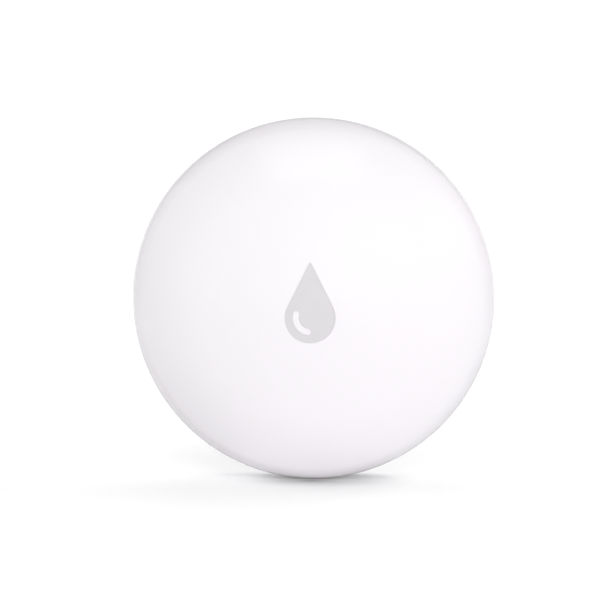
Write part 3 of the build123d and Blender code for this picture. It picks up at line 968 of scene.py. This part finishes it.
def makeBoardPrint():
    # white outlines printed round the chips, with a dot at each first lead
    bm = bmesh.new()
    gap, width = small["printGap"] * mm, small["printWidth"] * mm
    dot, thick = small["dot"] * mm, 2 * small["printLift"] * mm
    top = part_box("circuit_board")[0].y
    for node in outlined:
        low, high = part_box(node)
        middle, size = (low + high) / 2, high - low
        for axis, other in ((0, 2), (2, 0)):
            bar = Vector((width, thick, width))
            bar[axis] = size[axis] + 2 * gap
            for side in (-1, 1):
                at = Vector((middle.x, top, middle.z))
                at[other] += side * (size[other] / 2 + gap)
                addBlock(bm, at, bar, small["printRound"] * mm)
        corner = Matrix.Translation((low.x - 2 * gap, top, high.z)) @ Matrix.Rotation(upright, 4, "X")
        size = {"radius1": dot, "radius2": dot, "depth": thick}
        bmesh.ops.create_cone(bm, cap_ends=True, segments=small["dotSteps"], matrix=corner, **size)
    bmesh.ops.recalc_face_normals(bm, faces=bm.faces)
    finishPiece("boardPrint", bm, "base_white", "casing", stand=unmoved)


makeSmallEnds()
makeSolderPads()
makeBoardPrint()


# the camera stands where the photograph was taken from

photo = {
    "azimuth": 3.0,
    "elevation": 4.0,
    "distance": 0.35,
    "focal": 151.0,
    "sensor": 36.0,
    "nearest": 0.01,
    "farthest": 20.0,
    "target": (0, 0.0017, 0.025),
    "aimRight": -0.00191,
    "aimUp": -0.00031,
}


def makeCamera():
    around, rise = math.radians(photo["azimuth"]), math.radians(photo["elevation"])
    back = Vector((math.sin(around) * math.cos(rise), -math.cos(around) * math.cos(rise), math.sin(rise)))
    target = Vector(photo["target"])
    rightward = Vector((math.cos(around), math.sin(around), 0))
    upward = back.cross(rightward)
    data = bpy.data.cameras.new("photoCamera")
    data.lens = photo["focal"]
    data.sensor_width = photo["sensor"]
    data.clip_start, data.clip_end = photo["nearest"], photo["farthest"]
    camera = bpy.data.objects.new("photoCamera", data)
    bpy.context.scene.collection.objects.link(camera)
    camera.location = target + back * photo["distance"]
    aim = target + rightward * photo["aimRight"] + upward * photo["aimUp"] - camera.location
    camera.rotation_mode = "QUATERNION"
    camera.rotation_quaternion = aim.to_track_quat("-Z", "Y")
    bpy.context.scene.camera = camera


makeCamera()


# studio: pale floor, soft panels, and white surroundings that are brighter in front

studio = {
    "floorTone": (0.82, 0.82, 0.825),
    "floorGloss": 0.9,
    "floorShine": 0.1,
    "floorLift": 0.35,
    "shades": (
        {"dark": 0.47, "wide": 0.0142, "deep": 0.0076, "forward": 0.0027},
        {"dark": 0.245, "wide": 0.0424, "deep": 0.0768, "forward": 0},
    ),
    "floorSize": 1.2,
    "fadeFrom": 0.12,
    "fadeTo": 0.42,
    "frontward": (0, -1, 0.1),
    "frontFrom": 0.3,
    "frontGlow": 1.26,
    "allRound": 0.02,
    "backFrom": -0.4,
    "backTo": -0.8,
    "backGlow": 0.9,
    "bandFrom": 0.15,
    "bandTo": 0.5,
    "backdrop": 1.03,
}
# a panel aims at the sensor's middle and isn't mirrored in it where it doesn't say otherwise
sensorMiddle = (0, 0, 0.025)
panels = {
    "ceiling": {
        "place": (-0.04, -0.685, 0.53),
        "aim": (-0.04, -0.685, 0),
        "size": (0.4, 0.67),
        "glow": 1.25,
        "mirrored": True,
    },
    "keyRight": {"place": (0.656, -0.55, 0.303), "size": (0.6, 0.4), "glow": 3.15},
    "front": {"place": (0.172, -0.975, 0.164), "size": (0.5, 0.24), "glow": 3.45},
    "back": {"place": (0, 0.707, 0.732), "size": (0.7, 0.4), "glow": 2.0},
    "backLeft": {"place": (-0.86, 0.3, 0.42), "size": (0.5, 0.4), "glow": 8.0},
    "backRight": {"place": (0.663, 0.383, 0.668), "size": (0.5, 0.4), "glow": 5.5},
}


def makeFloor():
    bm = bmesh.new()
    bmesh.ops.create_grid(bm, x_segments=2, y_segments=2, size=studio["floorSize"])
    mesh = bpy.data.meshes.new("floor")
    bm.to_mesh(mesh)
    bm.free()
    floor = bpy.data.objects.new("floor", mesh)
    bpy.context.scene.collection.objects.link(floor)
    finish = Finish("paleFloor")
    away = finish.sumRoot(finish.axis("X"), finish.axis("Y"))
    seen = finish.add("ShaderNodeLightPath", {}, {}, "Is Camera Ray")
    # soft ellipses of shade where the rim stands
    dimmed = 0
    for facts in studio["shades"]:
        across = finish.axis("X") / facts["wide"]
        along = (finish.axis("Y") + facts["forward"]) / facts["deep"]
        near = finish.rescale(finish.sumRoot(across, along), 0, 1, 1, 0)
        dimmed = near * near * facts["dark"] + dimmed
    shade = 1 - seen * dimmed
    lift = seen * shade * studio["floorLift"]
    finish.set(Base_Color=finish.blend(shade, black, studio["floorTone"]))
    finish.set(Roughness=studio["floorGloss"], Specular_IOR_Level=studio["floorShine"])
    finish.set(Emission_Color=finish.blend(lift, black, white), Emission_Strength=1)
    finish.set(Alpha=finish.rescale(away, studio["fadeFrom"], studio["fadeTo"], 1, 0))
    mesh.materials.append(finish.material)


def makeSurroundings():
    # the camera sees plain white, and the sensor is lit by white that is strongest in front
    world = bpy.data.worlds.new("studioWhite")
    world.use_nodes = True
    sky = Tree(world.node_tree)
    toward = sky.add("ShaderNodeTexCoord", {}, {}, "Generated")
    inputs = {0: toward, 1: studio["frontward"]}
    infront = sky.add("ShaderNodeVectorMath", {"operation": "DOT_PRODUCT"}, inputs, "Value")
    front = sky.rescale(infront, studio["frontFrom"], 1, studio["allRound"], studio["frontGlow"])
    back = sky.rescale(infront, studio["backFrom"], studio["backTo"], 0, studio["backGlow"])
    rise = sky.add("ShaderNodeSeparateXYZ", {}, {"Vector": toward}, "Z")
    back = back * sky.rescale(abs(rise), studio["bandFrom"], studio["bandTo"], 1, 0)
    light = sky.add("ShaderNodeBackground", {}, {"Color": white, "Strength": front + back})
    seen = sky.add("ShaderNodeBackground", {}, {"Color": white, "Strength": studio["backdrop"]})
    path = sky.add("ShaderNodeLightPath", {}, {}, "Is Camera Ray")
    both = sky.add("ShaderNodeMixShader", {}, {0: path, 1: light, 2: seen})
    sky.add("ShaderNodeOutputWorld", {}, {"Surface": both}, None)
    bpy.context.scene.world = world


def makePanel(name, facts):
    data = bpy.data.lights.new(name, "AREA")
    data.shape = "RECTANGLE"
    data.size, data.size_y = facts["size"]
    data.energy = facts["glow"] * math.pi * data.size * data.size_y
    lamp = bpy.data.objects.new(name, data)
    bpy.context.scene.collection.objects.link(lamp)
    lamp.location = facts["place"]
    aim = Vector(facts.get("aim", sensorMiddle)) - lamp.location
    lamp.rotation_mode = "QUATERNION"
    lamp.rotation_quaternion = aim.to_track_quat("-Z", "Y")
    lamp.visible_camera = False
    lamp.visible_glossy = facts.get("mirrored", False)


makeFloor()
makeSurroundings()
for name, facts in panels.items():
    makePanel(name, facts)
bpy.context.scene.view_settings.view_transform = "Standard"
print("studio made with", len(panels), "panels")
